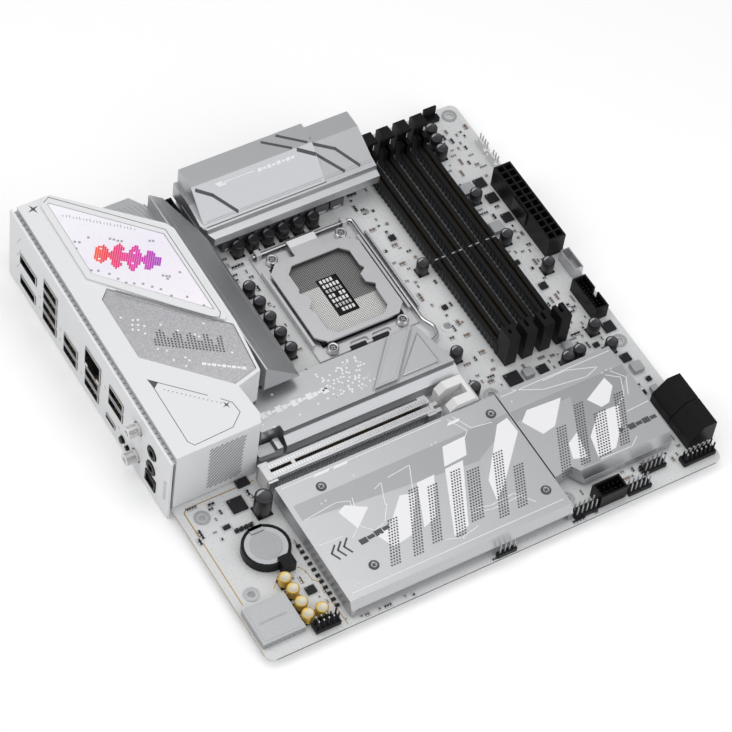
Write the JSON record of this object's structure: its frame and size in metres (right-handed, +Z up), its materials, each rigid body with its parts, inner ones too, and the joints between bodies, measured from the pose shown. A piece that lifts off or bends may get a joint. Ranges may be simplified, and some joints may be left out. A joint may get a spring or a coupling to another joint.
{
  "type": "motherboard",
  "caption": "White microATX computer board with a hinged processor socket, memory and expansion slots, silver heatsinks and a rear socket panel under a raised cover",
  "frame": {"origin": "middle of the footprint, on the plane that the board stands on when laid down: the ends of the four bosses of the socket's backplate and the lower edge of the rear panel", "axes": "+Z up out of the component side; +X from the rear socket panel towards the memory slots and SATA ports; +Y from the expansion slot towards the processor's power connector"},
  "size_m": [0.254, 0.2482, 0.0487],
  "materials": {
    "board": "glossy white solder mask over glass-fibre laminate",
    "white_cover": "fine matte white",
    "black_moulding": "satin black moulding",
    "silver_heatsink": "fine satin anodised silver",
    "plated_steel": "bright nickel plate",
    "lit_panel": "translucent diffuser",
    "inlay_foil": "speckled metal foil",
    "tinned_can": "dull tin"
  },
  "bodies": {
    "board": {"antenna_socket_1": "white_cover", "antenna_socket_2": "white_cover", "atx_power_connector": "black_moulding", "audio_codec": "black_moulding", "audio_shield": "tinned_can", "audio_socket_stack": "black_moulding", "battery_holder": "black_moulding", "chipset": "black_moulding", "chipset_heatsink": "silver_heatsink", "coin_cell": "plated_steel", "cpu_fan_header": "black_moulding", "cpu_power_connector": "black_moulding", "dimm_slot_1": "black_moulding", "dimm_slot_2": "black_moulding", "dimm_slot_3": "black_moulding", "dimm_slot_4": "black_moulding", "displayport_socket": "plated_steel", "front_audio_header": "black_moulding", "front_panel_header": "black_moulding", "front_usb_3_header": "black_moulding", "front_usb_c_socket": "plated_steel", "hdmi_socket": "plated_steel", "io_cover": "white_cover", "io_inlay_plate": "inlay_foil", "io_light_panel": "lit_panel", "lan_usb_socket": "plated_steel", "lower_m2_heatsink": "silver_heatsink", "m2_socket_1": "black_moulding", "m2_socket_2": "black_moulding", "m2_socket_3": "black_moulding", "pcb": "board", "pcie_slot": "silver_heatsink", "rear_panel": "white_cover", "rear_usb_c_socket": "plated_steel", "rear_vrm_heatsink": "silver_heatsink", "sata_socket_1": "black_moulding", "sata_socket_2": "black_moulding", "socket_backplate": "plated_steel", "socket_frame": "plated_steel", "socket_housing": "black_moulding", "socket_screw_1": "plated_steel", "socket_screw_2": "plated_steel", "socket_screw_3": "plated_steel", "socket_screw_4": "plated_steel", "top_vrm_heatsink": "silver_heatsink", "upper_m2_heatsink": "silver_heatsink", "usb_2_header": "black_moulding", "usb_pair_socket_a": "plated_steel", "usb_pair_socket_b": "plated_steel", "usb_quad_socket": "plated_steel"},
    "load_plate": {"load_plate": "plated_steel"},
    "load_lever": {"load_lever": "plated_steel"},
    "dimm_latch_1": {"dimm_latch_1": "black_moulding"},
    "dimm_latch_2": {"dimm_latch_2": "black_moulding"},
    "dimm_latch_3": {"dimm_latch_3": "black_moulding"},
    "dimm_latch_4": {"dimm_latch_4": "black_moulding"},
    "pcie_latch": {"pcie_latch": "white_cover"},
    "m2_release_latch": {"m2_release_latch": "silver_heatsink"},
    "bios_button": {"bios_button": "black_moulding"},
    "clear_cmos_button": {"clear_cmos_button": "black_moulding"}
  },
  "joints": [
    {"name": "load_lever_hinge", "type": "hinge", "parent": "board", "child": "load_lever", "pos_m": [0.039, 0.0752, 0.0078], "axis": [-1, 0, 0], "range_deg": [0, 110]},
    {"name": "load_plate_hinge", "type": "hinge", "parent": "board", "child": "load_plate", "pos_m": [0.0109, 0.0752, 0.0078], "axis": [-1, 0, 0], "range_deg": [0, 94]},
    {"name": "dimm_latch_1_hinge", "type": "hinge", "parent": "board", "child": "dimm_latch_1", "pos_m": [0.06375, 0.1052, 0.0076], "axis": [-1, 0, 0], "range_deg": [0, 28]},
    {"name": "dimm_latch_2_hinge", "type": "hinge", "parent": "board", "child": "dimm_latch_2", "pos_m": [0.0734, 0.1052, 0.0076], "axis": [-1, 0, 0], "range_deg": [0, 28]},
    {"name": "dimm_latch_3_hinge", "type": "hinge", "parent": "board", "child": "dimm_latch_3", "pos_m": [0.08305, 0.1052, 0.0076], "axis": [-1, 0, 0], "range_deg": [0, 28]},
    {"name": "dimm_latch_4_hinge", "type": "hinge", "parent": "board", "child": "dimm_latch_4", "pos_m": [0.0927, 0.1052, 0.0076], "axis": [-1, 0, 0], "range_deg": [0, 28]},
    {"name": "pcie_latch_hinge", "type": "hinge", "parent": "board", "child": "pcie_latch", "pos_m": [0.0206, -0.0417, 0.0081], "axis": [0, 1, 0], "range_deg": [0, 22]},
    {"name": "m2_release_latch_hinge", "type": "hinge", "parent": "board", "child": "m2_release_latch", "pos_m": [-0.0604, -0.0283, 0.0091], "axis": [0, 1, 0], "range_deg": [0, 20]},
    {"name": "bios_button_slide", "type": "slide", "parent": "board", "child": "bios_button", "axis": [1, 0, 0], "range_m": [0, 0.0008], "stiffness_N_per_m": 500},
    {"name": "clear_cmos_button_slide", "type": "slide", "parent": "board", "child": "clear_cmos_button", "axis": [1, 0, 0], "range_m": [0, 0.0008], "stiffness_N_per_m": 500}
  ],
  "couplings": [
    {"joint": "load_plate_hinge", "follows": "load_lever_hinge", "ratio": 0.85}
  ]
}
